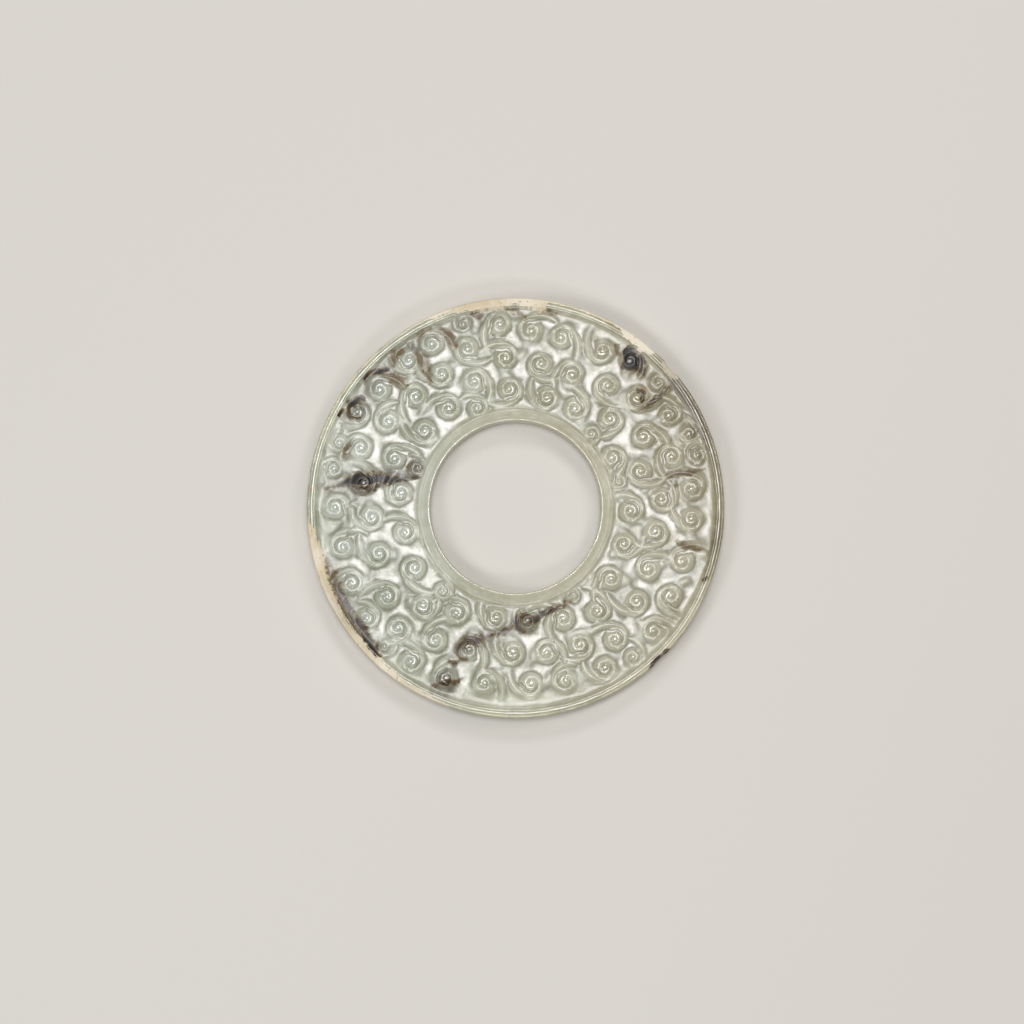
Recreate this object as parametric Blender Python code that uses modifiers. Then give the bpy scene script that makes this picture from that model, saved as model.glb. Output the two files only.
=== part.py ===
"""A jade huan: a flat carved ring with a round hole, plain rims and a sunk field of raised curls.

Metres, +Z up. The ring lies flat: its underside rims are at Z = 0, its carved face looks up, and its
centre stands on the Z axis. Bearings run anticlockwise from +X.
"""

from collections import namedtuple
from math import cos, radians, sin

import bmesh
import bpy
from mathutils import Matrix, Vector

MM = 0.001

# The ring.
WIDTH = 76.0 * MM
HEIGHT_OVER_WIDTH = 1.01  # cut by eye, so it is a little taller than wide
HOLE_WIDTH = 31.0 * MM
THICKNESS = 4.4 * MM
TURN_STEPS = 60
TURN_MERGE = 0.01 * MM
SHARP_EDGE = 25.0  # degrees between two faces past which the edge stays crisp

# Its rims, the same on both faces.
OUTER_RIM = 1.6 * MM
INNER_RIM = 2.3 * MM
RIM_SLOPE = 0.35 * MM  # width of the slope from a rim down to the field
FIELD_DEPTH = 0.6 * MM
OUTER_ARRIS = 0.35 * MM
HOLE_ARRIS = 0.55 * MM
HOLE_ARRIS_DROP = 0.33 * MM  # how far down the wall of the hole it starts

# The curls: a low domed head whose outer turn runs off into a tapering tail.
HEAD_RADIUS = 2.45 * MM
HEAD_CROWN = 0.7  # radius of the crown, as a share of the head's
HEAD_SIDES = 7
HEAD_HEIGHT = 0.4 * MM
HEAD_DOME = 0.12 * MM  # what the middle of the crown stands above its edge
TAIL_SWEEP = 75.0  # degrees that a tail travels round its head from leaving it to its tip
TAIL_FLARE = 1.6  # 1 would leave the head at an even rate, and more keeps close to it for longer
TAIL_SECTIONS = 3
TAIL_STEP = 0.01  # share of the tail over which its direction is taken
TAIL_WIDTH = 1.1 * MM
TAIL_END_WIDTH = 0.35 * MM
TAIL_HEIGHT = 0.38 * MM
TAIL_END_HEIGHT = 0.12 * MM
ROOT = 0.25 * MM  # how far every boss is let into the field

# The underside repeats plain bosses in even courses: (count, radius of the course).
BACK_COURSES = ((18, 21.0 * MM), (24, 27.0 * MM), (30, 33.0 * MM))
BACK_BOSS_SIDES = 6

JADE = {"colour": (0.45, 0.46, 0.37), "roughness": 0.25, "metallic": 0.0}

# The face's curls, course by course from the hole outwards: bearing in degrees and radius in
# millimetres of the head's centre, the way it unwinds, the bearing of the tail's tip from that
# centre, how far out the tip reaches in millimetres, and the head's size where it is a small one.
L = 1  # unwinds anticlockwise
R = -1  # unwinds clockwise
Curl = namedtuple("Curl", "bearing radius turn tail reach size", defaults=(1.0,))
INNER_COURSE = (
    (14, 19.4, R, 100, 3, 0.65), (27, 19.8, R, 250, 4.5), (44, 19.2, R, 200, 3, 0.75),
    (59, 21, L, 110, 4.5), (74, 20.8, R, 125, 4.5), (93, 21.6, R, 215, 4.5),
    (111, 19.4, L, 150, 3.5, 0.85), (124, 21.8, L, 190, 5), (140, 21.6, R, 150, 5),
    (158, 19.2, L, 130, 3, 0.7), (173, 21, R, 100, 4), (193, 20.6, L, 150, 4.5),
    (211, 21.4, L, 310, 6), (229, 20.2, L, 100, 3, 0.8), (241, 22, L, 150, 4.5),
    (260, 20.4, R, 115, 4.5), (276, 20.8, R, 20, 6, 0.9), (293, 22, L, 250, 4.5),
    (303, 19.4, L, 200, 2, 0.6), (323, 21.6, L, 250, 6), (341, 20.8, L, 20, 4),
    (358, 21, L, 150, 4.5),
)
MIDDLE_COURSE = (
    (3, 26.6, L, 70, 3.5), (16, 23.6, L, 350, 5), (29, 26.6, R, 320, 6.5),
    (43, 23.6, R, 215, 5), (53, 27.8, L, 300, 4.5), (67, 26.4, L, 220, 5),
    (80, 26.6, L, 320, 5), (94, 27.4, L, 165, 4.5), (108, 24.2, R, 300, 4.5),
    (119, 27.8, R, 135, 8), (132, 27.2, L, 255, 5), (146, 28, R, 60, 4),
    (158, 23.8, R, 350, 5.5), (171, 28, L, 130, 5), (184, 26.2, R, 150, 4.5),
    (199, 26.2, R, 135, 5), (215, 28.4, L, 180, 5), (227, 24.6, L, 45, 3.5),
    (239, 28.2, R, 60, 4.5), (252, 27.2, R, 290, 5), (269, 26.4, R, 130, 4.5),
    (282, 27, R, 320, 5), (295, 27.6, R, 215, 5), (308, 24, L, 120, 5),
    (322, 27.8, R, 165, 5.5), (335, 26.6, R, 15, 5), (350, 25.8, R, 200, 5),
)
OUTER_COURSE = (
    (6, 32.2, L, 155, 5), (16, 34.4, R, 60, 2.5, 0.8), (18, 29.8, L, 255, 4),
    (23, 34.4, L, 130, 6.5, 0.85), (31, 32.6, L, 125, 4, 0.9), (41, 34.6, R, 250, 3.5, 0.8),
    (42, 29.8, L, 25, 6), (52, 34, R, 300, 3.5, 0.9), (61, 32.6, R, 110, 5),
    (75, 32.2, R, 300, 5), (85, 32.4, R, 20, 5), (95, 33.6, L, 250, 5.5),
    (106, 34.8, R, 60, 2.5, 0.75), (107, 30.2, L, 345, 5), (117, 33.6, R, 350, 4),
    (126, 33.2, R, 150, 4), (139, 32.8, R, 355, 5), (149, 33.6, R, 195, 4),
    (159, 30.2, L, 225, 5), (160, 34.2, R, 80, 3.5, 0.8), (168, 33.8, L, 230, 3.5, 0.85),
    (180, 32.8, R, 300, 5), (193, 32.2, R, 30, 5), (205, 32.8, L, 195, 4),
    (217, 33.6, L, 120, 3.5, 0.9), (226, 30.6, R, 215, 4), (227, 34.8, L, 30, 2.5, 0.7),
    (236, 33.8, L, 130, 4.5), (248, 33.6, R, 60, 4), (260, 32.4, R, 320, 4),
    (275, 32.2, R, 150, 4.5), (286, 32.8, R, 50, 5), (299, 33.4, R, 165, 5),
    (307, 30, L, 165, 4.5), (308, 34.6, L, 100, 3.5, 0.85), (318, 33.6, R, 345, 5),
    (330, 32.4, L, 310, 5), (342, 31.8, R, 20, 5.5), (356, 32, R, 115, 7.5),
)


def clear_scene():
    for obj in list(bpy.data.objects):
        bpy.data.objects.remove(obj, do_unlink=True)


def new_collection(name, helper):
    collection = bpy.data.collections.new(name)
    bpy.context.scene.collection.children.link(collection)
    collection.hide_render = helper
    return collection


def new_object(name, mesh, collection):
    obj = bpy.data.objects.new(name, mesh)
    collection.objects.link(obj)
    if collection.hide_render:
        obj.hide_render = True
        obj.display_type = "WIRE"
    return obj


def jade_material():
    material = bpy.data.materials.new("jade")
    material.use_nodes = True
    shader = material.node_tree.nodes["Principled BSDF"]
    shader.inputs["Base Color"].default_value = (*JADE["colour"], 1.0)
    shader.inputs["Roughness"].default_value = JADE["roughness"]
    shader.inputs["Metallic"].default_value = JADE["metallic"]
    return material


def polar(radius, bearing):
    """The point at a radius and a bearing in degrees, in the plane of the ring."""
    return Vector((radius * cos(radians(bearing)), radius * sin(radians(bearing)), 0.0))


# The body: a turned ring with rims, slopes and a sunk field on both faces.


def face_profile():
    """(radius, depth below the rims) across the carved face, from the hole outwards."""
    hole = HOLE_WIDTH / 2
    edge = WIDTH / 2
    return [
        (hole, HOLE_ARRIS_DROP),
        (hole + HOLE_ARRIS, 0.0),
        (hole + INNER_RIM - RIM_SLOPE, 0.0),
        (hole + INNER_RIM, FIELD_DEPTH),
        (edge - OUTER_RIM, FIELD_DEPTH),
        (edge - OUTER_RIM + RIM_SLOPE, 0.0),
        (edge - OUTER_ARRIS, 0.0),
        (edge, OUTER_ARRIS),
    ]


def ring_body(material, collection):
    """The section runs out over the top, down the edge, in along the underside and up the hole."""
    top = [Vector((r, 0.0, THICKNESS - depth)) for r, depth in face_profile()]
    underside = [Vector((r, 0.0, depth)) for r, depth in reversed(face_profile())]
    profile = bmesh.new()
    verts = [profile.verts.new(point) for point in top + underside]
    for first, second in zip(verts, verts[1:] + verts[:1]):
        profile.edges.new((first, second))
    mesh = bpy.data.meshes.new("jade_ring")
    profile.to_mesh(mesh)
    profile.free()
    mesh.materials.append(material)
    ring = new_object("jade_ring", mesh, collection)
    turn = ring.modifiers.new("turn", "SCREW")
    turn.axis = "Z"
    turn.steps = TURN_STEPS
    turn.render_steps = TURN_STEPS
    turn.use_merge_vertices = True
    turn.merge_threshold = TURN_MERGE
    ring.scale = (1.0, HEIGHT_OVER_WIDTH, 1.0)
    return ring


# The bosses that stand up from the field.


def head_mesh(name, radius, sides, turned):
    """A low dome: a frustum let into the field, its crown raised to a middle point."""
    bm = bmesh.new()
    rise = ROOT + HEAD_HEIGHT
    slope = (1.0 - HEAD_CROWN) * radius
    bmesh.ops.create_cone(
        bm,
        cap_ends=True,
        segments=sides,
        radius1=radius + slope * ROOT / HEAD_HEIGHT,
        radius2=radius - slope,
        depth=rise,
    )
    bmesh.ops.translate(bm, verts=bm.verts, vec=(0.0, 0.0, rise / 2 - ROOT))
    crown = max(bm.faces, key=lambda face: face.calc_center_median().z)
    middle = bmesh.ops.poke(bm, faces=[crown])["verts"]
    bmesh.ops.translate(bm, verts=middle, vec=(0.0, 0.0, HEAD_DOME))
    bmesh.ops.rotate(bm, verts=bm.verts, matrix=Matrix.Rotation(radians(turned), 3, "Z"))
    mesh = bpy.data.meshes.new(name)
    bm.to_mesh(mesh)
    bm.free()
    return mesh


def tail_path(curl, share):
    """The tail's middle line about the head's centre, from where it leaves (0) to its tip (1)."""
    start = (HEAD_RADIUS - TAIL_WIDTH / 2) * curl.size
    radius = start + (curl.reach * MM - start) * share**TAIL_FLARE
    return polar(radius, curl.tail - curl.turn * TAIL_SWEEP * (1.0 - share))


def tail_mesh(name, curl):
    """A ridge of triangular section, lofted along the tail and tapering to its tip."""
    bm = bmesh.new()
    sections = []
    for step in range(TAIL_SECTIONS + 1):
        share = step / TAIL_SECTIONS
        middle = tail_path(curl, share)
        along = (tail_path(curl, share + TAIL_STEP) - tail_path(curl, share)).normalized()
        across = Vector((-along.y, along.x, 0.0))
        width = (TAIL_WIDTH + (TAIL_END_WIDTH - TAIL_WIDTH) * share) * curl.size
        height = TAIL_HEIGHT + (TAIL_END_HEIGHT - TAIL_HEIGHT) * share
        foot = width / 2 * (1.0 + ROOT / height)
        sections.append(
            [
                bm.verts.new(middle + across * foot - Vector((0.0, 0.0, ROOT))),
                bm.verts.new(middle - across * foot - Vector((0.0, 0.0, ROOT))),
                bm.verts.new(middle + Vector((0.0, 0.0, height))),
            ]
        )
    for near, far in zip(sections, sections[1:]):
        for side in range(3):
            ahead = (side + 1) % 3
            bm.faces.new((near[side], near[ahead], far[ahead], far[side]))
    bm.faces.new(sections[0])
    bm.faces.new(sections[-1])
    bmesh.ops.recalc_face_normals(bm, faces=bm.faces)
    mesh = bpy.data.meshes.new(name)
    bm.to_mesh(mesh)
    bm.free()
    return mesh


def carve_face(collection):
    """One head and one tail for each curl of the carved face."""
    field = THICKNESS - FIELD_DEPTH
    chart = [Curl(*row) for row in INNER_COURSE + MIDDLE_COURSE + OUTER_COURSE]
    for number, curl in enumerate(chart):
        place = polar(curl.radius * MM, curl.bearing) + Vector((0.0, 0.0, field))
        mesh = head_mesh(f"head_{number}", HEAD_RADIUS * curl.size, HEAD_SIDES, curl.tail)
        new_object(mesh.name, mesh, collection).location = place
        mesh = tail_mesh(f"tail_{number}", curl)
        new_object(mesh.name, mesh, collection).location = place


def carve_underside(collection):
    """Plain bosses in three even courses, staggered from one course to the next."""
    for course, (count, radius) in enumerate(BACK_COURSES):
        for number in range(count):
            bearing = 360.0 * (number + 0.5 * (course % 2)) / count
            mesh = head_mesh(f"boss_{course}_{number}", HEAD_RADIUS, BACK_BOSS_SIDES, bearing)
            boss = new_object(mesh.name, mesh, collection)
            boss.rotation_euler = (radians(180.0), 0.0, 0.0)
            boss.location = polar(radius, bearing) + Vector((0.0, 0.0, FIELD_DEPTH))


def raise_bosses(ring, bosses):
    """Joins every boss to the turned body, so that the whole ring is one piece of stone."""
    join = ring.modifiers.new("raise the bosses", "BOOLEAN")
    join.operation = "UNION"
    join.solver = "EXACT"
    join.operand_type = "COLLECTION"
    join.collection = bosses
    whole = ring.evaluated_get(bpy.context.evaluated_depsgraph_get())
    ring.data = bpy.data.meshes.new_from_object(whole)
    ring.data.name = ring.name
    ring.modifiers.clear()
    ring.data.shade_smooth()
    ring.data.set_sharp_from_angle(angle=radians(SHARP_EDGE))


def main():
    clear_scene()
    ring_collection = new_collection("jade_huan_ring", helper=False)
    bosses = new_collection("bosses", helper=True)
    ring = ring_body(jade_material(), ring_collection)
    carve_face(bosses)
    carve_underside(bosses)
    raise_bosses(ring, bosses)


main()
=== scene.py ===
"""The looks of a jade huan: a flat ring of pale nephrite, carved on both faces with raised curls.

The frame's own axes: the ring lies flat round the Z axis with its carved face up. Bearings are in
degrees and run anticlockwise from +X. The stone is worked in millimetres and brought to metres once,
when it is finished.
"""

from collections import namedtuple
from math import cos, pi, radians, sin

import bmesh
import bpy
import numpy as np
from mathutils import Matrix, Vector


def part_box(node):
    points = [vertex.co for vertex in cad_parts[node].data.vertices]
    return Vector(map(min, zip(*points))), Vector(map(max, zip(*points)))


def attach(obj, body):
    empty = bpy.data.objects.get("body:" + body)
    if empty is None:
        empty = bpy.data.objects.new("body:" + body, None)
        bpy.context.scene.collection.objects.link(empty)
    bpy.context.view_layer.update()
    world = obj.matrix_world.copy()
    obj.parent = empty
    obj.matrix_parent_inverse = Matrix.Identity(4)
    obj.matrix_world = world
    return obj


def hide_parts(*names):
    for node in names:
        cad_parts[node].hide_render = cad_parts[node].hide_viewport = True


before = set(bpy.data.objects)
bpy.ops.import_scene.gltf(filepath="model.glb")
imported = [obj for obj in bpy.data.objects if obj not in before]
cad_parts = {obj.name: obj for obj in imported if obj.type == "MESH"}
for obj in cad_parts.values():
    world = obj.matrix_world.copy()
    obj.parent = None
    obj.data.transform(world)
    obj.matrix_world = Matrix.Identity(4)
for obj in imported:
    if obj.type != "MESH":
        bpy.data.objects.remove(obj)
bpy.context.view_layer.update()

MM = 0.001
LOW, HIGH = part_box("jade_ring")
EASE = 0.02  # the finished stone keeps this far inside the working solid
THICKNESS = HIGH.z / MM
MIDDLE = THICKNESS / 2
OUTER = HIGH.x / MM - EASE
STRETCH = HIGH.y / HIGH.x  # cut by eye, so it is a little taller than wide
HOLE = 15.5 + EASE
FIELD_DEPTH = 0.6
INNER_RIM_WIDTH = 2.7
FIELD = (HOLE + INNER_RIM_WIDTH, OUTER - 1.9)  # the sunk field that holds the curls, between the two rims

# The section of each rim, as far out from the hole or in from the outer edge, and as deep below the top.
INNER_RIM = (
    (0, 0.7), (0.04, 0.3), (0.12, 0.07), (0.25, 0.0), (0.45, 0.02), (0.8, 0.06), (0.95, 0.1),
    (1.1, 0.115), (1.6, 0.15), (2.0, 0.21), (2.15, 0.23), (2.38, 0.4), (INNER_RIM_WIDTH, FIELD_DEPTH),
)
OUTER_RIM = (
    (2.9, FIELD_DEPTH), (2.2, 0.5), (1.75, 0.28), (1.5, 0.12), (1.3, 0.08), (1.0, 0.13), (0.65, 0.08),
    (0.4, 0.0), (0.15, 0.1), (0.02, 0.4), (0, 0.8),
)
RIM_STEPS = 4

# How finely the stone is worked up, in steps round it and in millimetres across it, and how many
# triangles it is then thinned to: the underside first, then the whole.
TURN_STEPS = 1800
SEAM_GAP = 0.005  # the first and the last step round the stone are joined across this
FACE_STEP = 0.095
UNDERSIDE_STEP = 0.35
UNDERSIDE_TRIANGLES = 30000
TRIANGLES = 196000
LENGTH_COST = 0.00006  # how much long edges count against thinning, so that no triangle grows too large
THINNED = 0.5  # the weight of the corners that may be thinned

# The face's curls, course by course from the hole outwards: bearing in degrees and radius in
# millimetres of the head's centre, the way it unwinds, the bearing of the tail's tip from that
# centre, how far out the tip reaches in millimetres, and the head's size where it is a small one.
L = 1  # unwinds anticlockwise
R = -1  # unwinds clockwise
Curl = namedtuple("Curl", "bearing radius turn tail reach size", defaults=(1.0,))
INNER_COURSE = (
    (14, 19.4, R, 100, 3, 0.65), (27, 19.8, R, 250, 4.5), (44, 19.2, R, 200, 3, 0.75),
    (59, 21, L, 110, 4.5), (74, 20.8, R, 125, 4.5), (93, 21.6, R, 215, 4.5),
    (111, 19.4, L, 150, 3.5, 0.85), (124, 21.8, L, 190, 5), (140, 21.6, R, 150, 5),
    (158, 19.2, L, 130, 3, 0.7), (173, 21, R, 100, 4), (193, 20.6, L, 150, 4.5),
    (211, 21.4, L, 310, 6), (229, 20.2, L, 100, 3, 0.8), (241, 22, L, 150, 4.5),
    (260, 20.4, R, 115, 4.5), (276, 20.8, R, 20, 6, 0.9), (293, 22, L, 250, 4.5),
    (303, 19.4, L, 200, 2, 0.6), (323, 21.6, L, 250, 6), (341, 20.8, L, 20, 4),
    (358, 21, L, 150, 4.5),
)
MIDDLE_COURSE = (
    (3, 26.6, L, 70, 3.5), (16, 23.6, L, 350, 5), (29, 26.6, R, 320, 6.5),
    (43, 23.6, R, 215, 5), (53, 27.8, L, 300, 4.5), (67, 26.4, L, 220, 4.2),
    (80, 26.6, L, 320, 4), (94, 27.4, L, 165, 4.5), (108, 24.2, R, 300, 4.5),
    (119, 27.8, R, 135, 8), (132, 27.2, L, 255, 5), (146, 28, R, 60, 4),
    (158, 23.8, R, 350, 5.5), (171, 28, L, 130, 5), (184, 26.2, R, 150, 4.5),
    (199, 26.2, R, 135, 5), (215, 28.4, L, 180, 5), (227, 24.6, L, 45, 3.5),
    (239, 28.2, R, 60, 4.5), (252, 27.2, R, 290, 5), (269, 26.4, R, 130, 4.5),
    (282, 27, R, 330, 3.8), (295, 27.6, R, 215, 4), (308, 24, L, 120, 5),
    (322, 27.8, R, 165, 5.5), (335, 26.6, R, 15, 5), (350, 25.8, R, 200, 5),
)
OUTER_COURSE = (
    (6, 32.2, L, 155, 5), (16, 34.4, R, 60, 2.5, 0.8), (18, 29.8, L, 255, 4),
    (23, 34.4, L, 130, 6.5, 0.85), (31, 32.6, L, 125, 4, 0.9), (41, 34.6, R, 250, 3.5, 0.8),
    (42, 29.8, L, 25, 6), (52, 34, R, 300, 3.5, 0.9), (61, 32.6, R, 110, 5),
    (75, 32.2, R, 300, 5), (85, 32.4, R, 20, 5), (95, 33.6, L, 250, 5.5),
    (106, 34.8, R, 60, 2.5, 0.75), (107, 30.2, L, 345, 5), (117, 33.6, R, 350, 4),
    (126, 33.2, R, 150, 4), (139, 32.8, R, 355, 5), (149, 33.6, R, 195, 4),
    (159, 30.2, L, 225, 5), (160, 34.2, R, 80, 3.5, 0.8), (168, 33.8, L, 230, 3.5, 0.85),
    (180, 32.8, R, 300, 5), (193, 32.2, R, 30, 5), (205, 32.8, L, 195, 4),
    (217, 33.6, L, 120, 3.5, 0.9), (226, 30.6, R, 215, 4), (227, 34.8, L, 30, 2.5, 0.7),
    (236, 33.8, L, 130, 4.5), (248, 33.6, R, 60, 4), (260, 32.4, R, 320, 4),
    (275, 32.2, R, 150, 4.5), (286, 32.8, R, 60, 3.6), (299, 33.4, R, 165, 4.2),
    (307, 30, L, 165, 4.5), (308, 34.6, L, 100, 3.5, 0.85), (318, 33.6, R, 345, 5),
    (330, 32.4, L, 310, 5), (342, 31.8, R, 20, 5.5), (356, 32, R, 115, 7.5),
)
FACE_CURLS = [Curl(*row) for row in INNER_COURSE + MIDDLE_COURSE + OUTER_COURSE]

# The underside is out of sight, so its curls keep to even courses: (count, radius in millimetres).
UNDERSIDE_COURSES = ((20, 21.2), (26, 27.2), (32, 33.2))
UNDERSIDE_REACH = 4.4

# One curl, in millimetres at full size: a low dome, with a band that rises out of its flank and runs
# off as the tail. A groove comes in between tail and dome and winds to the heart, ever shallower.
HEAD_FULLNESS = 0.75  # below 1 the dome's flank steepens towards its foot
HEAD_POINT = 1.5  # 2 would be a round top, 1 a cone
HEIGHT_KEPT = 0.4  # the share of its height that a curl keeps however small it is
TAIL_SWEEP = 75.0
TAIL_FLARE = 1.6
BAND_ROOT = 1.75
BAND_LEAVES = 2.55
BAND_SWING = 3  # how late the band swings out from its root
BAND_TURNS = 0.55
BAND_HALF = 0.65
TAIL_SWELL = 1.6  # how much the tail swells half way along, against its ends
TAIL_HALF = 0.8
BAND_CROWN = 0.38
TAIL_CROWN = 0.2
TAIL_TAPER = 1.5  # how late the tail sinks from one crown to the other
BAND_PROFILE = 1.5
GROOVE_HEART = 0.5
GROOVE_TURNS = 1.35
GROOVE_LEAD = 0.13  # turns that the groove runs on outside its mouth, along the tail
GROOVE_CLOSE = 1.3  # how fast the groove closes on the heart: 1 would be an even spiral
GROOVE_SHALLOWS = 2.2  # how fast it loses its depth behind the mouth
GROOVE_DEPTHS = (0.5, 0.05)  # at the mouth and at the heart, and its half widths there
GROOVE_HALVES = (0.36, 0.12)
GROOVE_MOUTH = BAND_LEAVES - BAND_HALF - GROOVE_HALVES[0]
PATH_STEPS = 72

# A head's size, how softly curls run into each other and into the ground, how wavy the ground is, and
# how far the hand strayed from the setting out.
CARVING = {
    "Head Radius": 2.5, "Head Height": 0.55, "Blend": 0.14, "Fillet": 0.38, "Waviness": 0.9, "Wander": 0.15
}
SKIRT = 0.4  # how steeply the foot of a curl would run on down, if the ground did not catch it
RIM_FILLET = 0.4
HEADROOM = 0.01  # the tallest curl stays this far below the rims
FIELD_SLACK = 0.05  # the ground is worked from this far under its level
WAVE = 3.6  # across one hollow of the ground
WAVES_CLEAR = (0.25, -0.1)  # the height on a curl's flank where the waves start, and where they are full
WANDER_LENGTH = 4.5

# How uneven the outer edge is and how deep its nicks are, and how long both are.
WEAR = {"Unevenness": 0.12, "Nicks": 0.05}
SWAY_LENGTH = 8.0
NICK_LENGTH = 1.3

# Where the ground has stained the stone, as strokes. Each point is a bearing, a radius and the stain's
# half width there, all in the plan's degrees and millimetres, and its strength: 1 is full, and more
# makes a blacker core.

# Iron and manganese that crept in along flaws: brown at the edges, black at the core.
VEINS = (
    ((174.9, 35, 0.25, 0.42), (173.8, 33.2, 0.3, 0.65), (172.6, 31.8, 0.42, 0.85), (171.6, 30.4, 0.75, 1.1),
     (170.6, 28.8, 1.2, 1.25), (169.9, 27.4, 1.2, 1.25), (169.4, 26, 1.2, 1.2), (168.5, 24.8, 1.1, 1.1),
     (168.2, 23.4, 0.7, 1.1), (166.8, 21.8, 0.45, 1.1), (165.2, 20.3, 0.4, 1.1), (163.9, 19, 0.36, 0.95),
     (163, 18.2, 0.25, 0.6)),
    ((172.6, 29.8, 0.35, 0.8), (173, 28, 0.5, 0.75), (172.6, 26.2, 0.45, 0.8), (171, 25.2, 0.5, 0.9)),
    ((161.6, 20.4, 0.3, 0.6), (160, 20.8, 0.3, 0.6), (158.4, 20.6, 0.25, 0.5)),
    ((163.9, 32.6, 0.4, 0.3), (160.5, 32.4, 0.4, 0.45), (158.5, 32.3, 0.3, 0.4)),
    ((252.6, 32.4, 0.35, 0.6), (250, 33.3, 0.5, 0.75), (247.6, 34.2, 0.7, 0.85), (244.8, 35.4, 0.4, 0.65)),
    ((248.8, 30.3, 0.5, 0.65), (246.2, 30.2, 0.4, 0.5)),
    ((261, 23.2, 0.4, 0.5), (258.4, 23.7, 0.45, 0.7), (255.9, 24.2, 0.75, 0.85), (253, 24.9, 0.85, 0.85),
     (250.8, 25.5, 0.7, 0.85), (248.8, 26.4, 0.5, 0.75), (247.7, 27.5, 0.3, 0.65), (248.3, 28.5, 0.3, 0.55),
     (250.6, 29, 0.3, 0.5), (252.6, 28.7, 0.25, 0.4)),
    ((269.5, 21.4, 0.4, 0.55), (266.6, 22, 0.45, 0.7), (263.8, 22.9, 0.45, 0.7), (260.6, 23.4, 0.35, 0.65)),
    ((273.5, 22.4, 0.5, 0.6), (271.6, 21.9, 0.8, 0.8), (270.9, 20.8, 0.8, 0.85), (272.5, 19.9, 0.6, 0.7),
     (275.5, 19.8, 0.6, 0.7), (277.5, 20.5, 0.6, 0.75), (281, 20.4, 0.55, 0.95), (285.5, 19.9, 0.55, 0.9),
     (291, 19.6, 0.5, 0.75), (295, 19.6, 0.45, 0.6), (300, 19.6, 0.4, 0.42)),
    ((57.6, 34.6, 0.5, 0.6), (55.6, 33.4, 0.4, 0.5)),
    ((53.4, 34.3, 1.5, 1), (51.6, 34, 2, 1.25), (50.2, 33.9, 1.9, 1.25), (48.6, 33.8, 1.3, 0.85),
     (45.5, 33, 0.5, 0.5)),
    ((37.9, 35.2, 0.45, 0.5), (37.2, 33, 0.5, 0.6), (37.2, 30.6, 0.5, 0.6), (38.2, 28.8, 0.4, 0.4)),
    ((43.7, 30.8, 0.4, 0.6), (42, 31.2, 0.5, 0.85), (40.4, 30.6, 0.45, 0.9), (39.7, 30, 0.3, 0.6)),
    ((102.4, 35.9, 0.6, 0.55), (100.6, 35.3, 0.6, 0.6)),
    ((112.8, 34.8, 0.5, 0.34), (111.4, 33, 0.8, 0.42), (111.2, 31.6, 0.7, 0.38)),
    ((122.8, 33.2, 0.5, 0.34), (122.4, 31.4, 0.8, 0.42), (123.3, 29.4, 0.8, 0.42),
     (124.6, 27.6, 0.5, 0.34)),
    ((134.2, 33.4, 0.8, 0.46), (133.2, 31.4, 0.9, 0.44), (132.4, 29.8, 0.6, 0.34)),
    ((131, 34.2, 0.5, 0.34), (128.6, 35.2, 0.8, 0.44), (126, 35.4, 0.5, 0.34)),
    ((120.6, 35.2, 0.5, 0.3), (118.4, 35.8, 0.5, 0.34), (115.6, 35.8, 0.4, 0.3)),
    ((141, 35.5, 0.3, 0.8), (139.5, 35.8, 0.45, 0.85), (137.6, 35.9, 0.5, 0.5), (136.2, 35.5, 0.5, 0.75),
     (134.7, 34.9, 0.6, 1.1), (133.3, 34.2, 0.5, 0.9)),
    ((152.7, 36.1, 0.35, 0.9), (150.7, 35.8, 0.3, 0.6)),
    ((145, 34.2, 0.5, 0.9), (146.8, 34.9, 0.7, 1.1), (148.8, 35.4, 0.5, 0.9), (150.4, 34.9, 0.4, 0.8),
     (151.4, 33.7, 0.35, 0.7), (150.6, 32.6, 0.3, 0.5)),
    ((92.7, 36, 0.4, 0.36), (90.1, 35.4, 0.6, 0.4), (87.4, 34.6, 0.4, 0.36)),
    ((82.3, 36, 0.4, 0.45), (80.4, 35.8, 0.5, 0.5), (78.4, 35.8, 0.3, 0.4)),
    ((195.5, 36, 0.7, 0.35), (198, 35.8, 0.9, 0.45), (203, 35.6, 0.9, 0.55), (206, 35.3, 0.7, 0.85),
     (210, 35.3, 0.6, 0.9), (215, 35.4, 0.6, 0.85), (220, 35.7, 0.9, 0.95), (224, 36.2, 1, 1.05),
     (227.5, 36.7, 0.5, 0.7)),
    ((201, 36.6, 0.4, 0.34), (206, 36.5, 0.5, 0.38), (213, 36.5, 0.5, 0.4), (218.5, 36.6, 0.4, 0.42)),
    ((11.3, 35, 0.3, 0.35), (11.2, 33, 0.5, 0.55), (11.5, 30.6, 0.5, 0.5), (11.8, 28.2, 0.4, 0.45)),
    ((7.6, 29.5, 0.3, 0.5), (6.6, 29.2, 0.3, 0.4)),
    ((339.6, 36.9, 0.3, 0.8), (338.8, 36.6, 0.35, 0.8)),
    ((347.7, 30.2, 0.5, 0.35), (347.4, 32.5, 0.6, 0.45), (347.3, 34.4, 0.4, 0.35)),
    ((310, 37.9, 0.4, 0.7), (313.5, 37.8, 0.6, 0.9), (317, 37.9, 0.4, 0.7)),
)
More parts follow.
